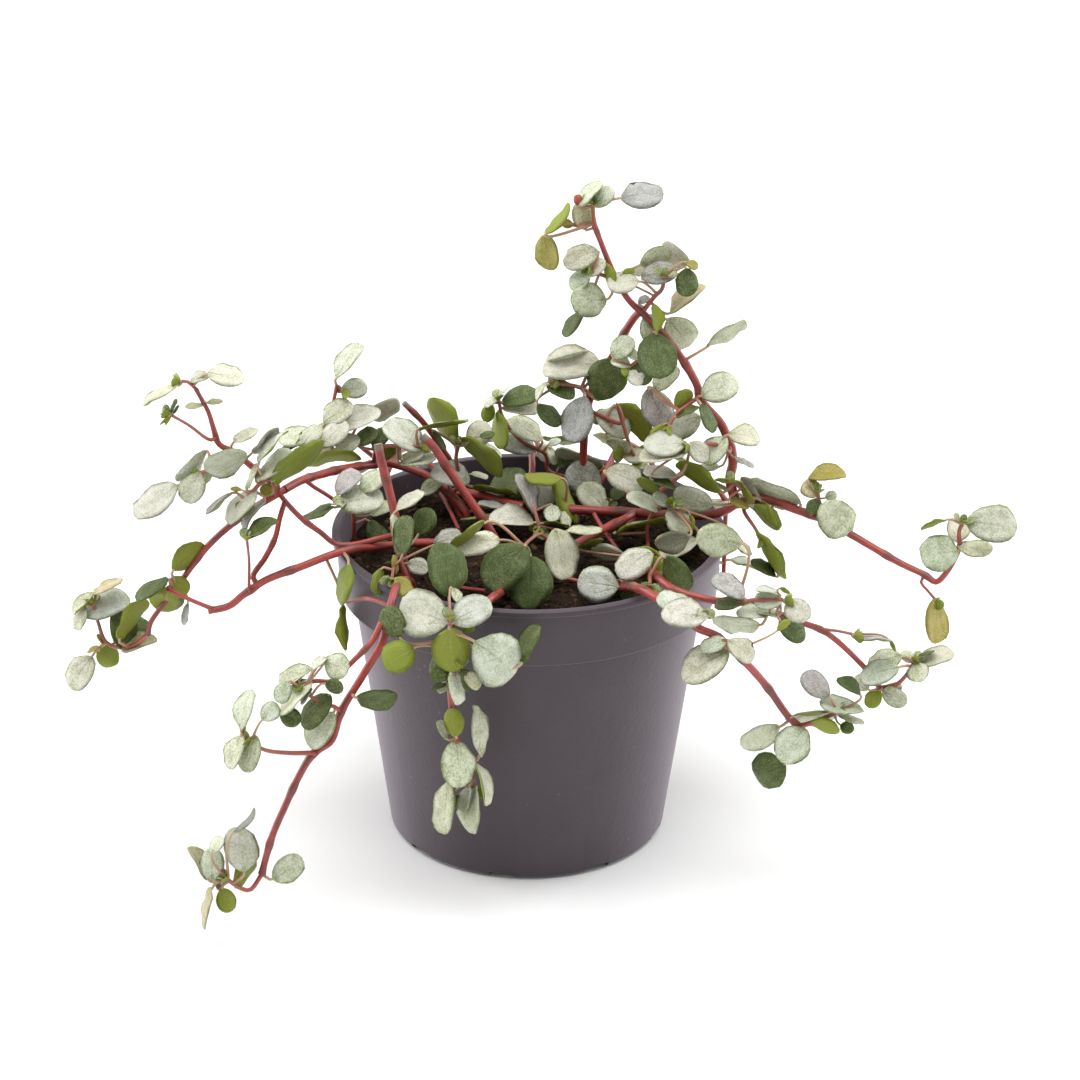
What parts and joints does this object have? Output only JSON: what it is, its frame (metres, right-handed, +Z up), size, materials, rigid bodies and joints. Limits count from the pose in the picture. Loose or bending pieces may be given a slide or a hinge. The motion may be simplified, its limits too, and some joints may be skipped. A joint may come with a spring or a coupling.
{
  "type": "potted plant",
  "caption": "Potted trailing pilea with small silvery leaves on red stems that rise, sprawl and hang over the rim of a plain plastic nursery pot.",
  "frame": {"origin": "on the pot's axis, at the level that its feet stand on", "axes": "+Z up along the pot's axis, -Y towards the front, where the longest front stem hangs, +X to the right seen from the front"},
  "size_m": [0.2128, 0.1381, 0.15],
  "materials": {
    "pot": "matte, mauve-grey, slightly translucent at the rim",
    "soil": "loose, fibrous, dark brown peat",
    "stem": "smooth, satin, pinkish red, fleshy",
    "leaf": "satin, silvery upper side with fine green speckles, green underside"
  },
  "bodies": {
    "root": {"pot": "pot", "shoot_back_left": "leaf", "shoot_back_middle": "leaf", "shoot_back_right": "leaf", "shoot_side_right": "leaf", "soil": "soil", "sprig_back_left_low": "leaf", "sprig_back_middle": "leaf", "sprig_back_top": "leaf", "sprig_centre": "leaf", "sprig_centre_front": "leaf", "sprig_crown_back": "leaf", "sprig_crown_right": "leaf", "sprig_curled_right": "leaf", "sprig_cut_left": "leaf", "sprig_down_left_node": "leaf", "sprig_down_left_side": "leaf", "sprig_down_left_tip": "leaf", "sprig_far_left": "leaf", "sprig_far_right": "leaf", "sprig_front_lower": "leaf", "sprig_front_rosette": "leaf", "sprig_inner_front": "leaf", "sprig_inner_right": "leaf", "sprig_inner_tower": "leaf", "sprig_left_fan": "leaf", "sprig_left_rim": "leaf", "sprig_lower_right_end": "leaf", "sprig_right_end": "leaf", "sprig_right_rim_front": "leaf", "sprig_rim_right": "leaf", "sprig_rim_right_front": "leaf", "sprig_tower_east": "leaf", "sprig_tower_low": "leaf", "sprig_tower_middle": "leaf", "sprig_tower_side": "leaf", "sprig_tower_tip": "leaf", "sprig_tower_west": "leaf", "sprig_upper_left_low": "leaf", "stem_across": "stem", "stem_back_left": "stem", "stem_cut_back": "stem", "stem_cut_centre": "stem", "stem_cut_front": "stem", "stem_cut_left": "stem", "stem_down_left": "stem", "stem_down_left_side": "stem", "stem_far_right": "stem", "stem_front": "stem", "stem_left_hanging": "stem", "stem_left_lower": "stem", "stem_left_prop": "stem", "stem_left_trail": "stem", "stem_left_upper": "stem", "stem_lower_right": "stem", "stem_right": "stem", "stem_tower_left": "stem", "stem_tower_right": "stem", "stem_upper_left": "stem"}
  },
  "joints": []
}
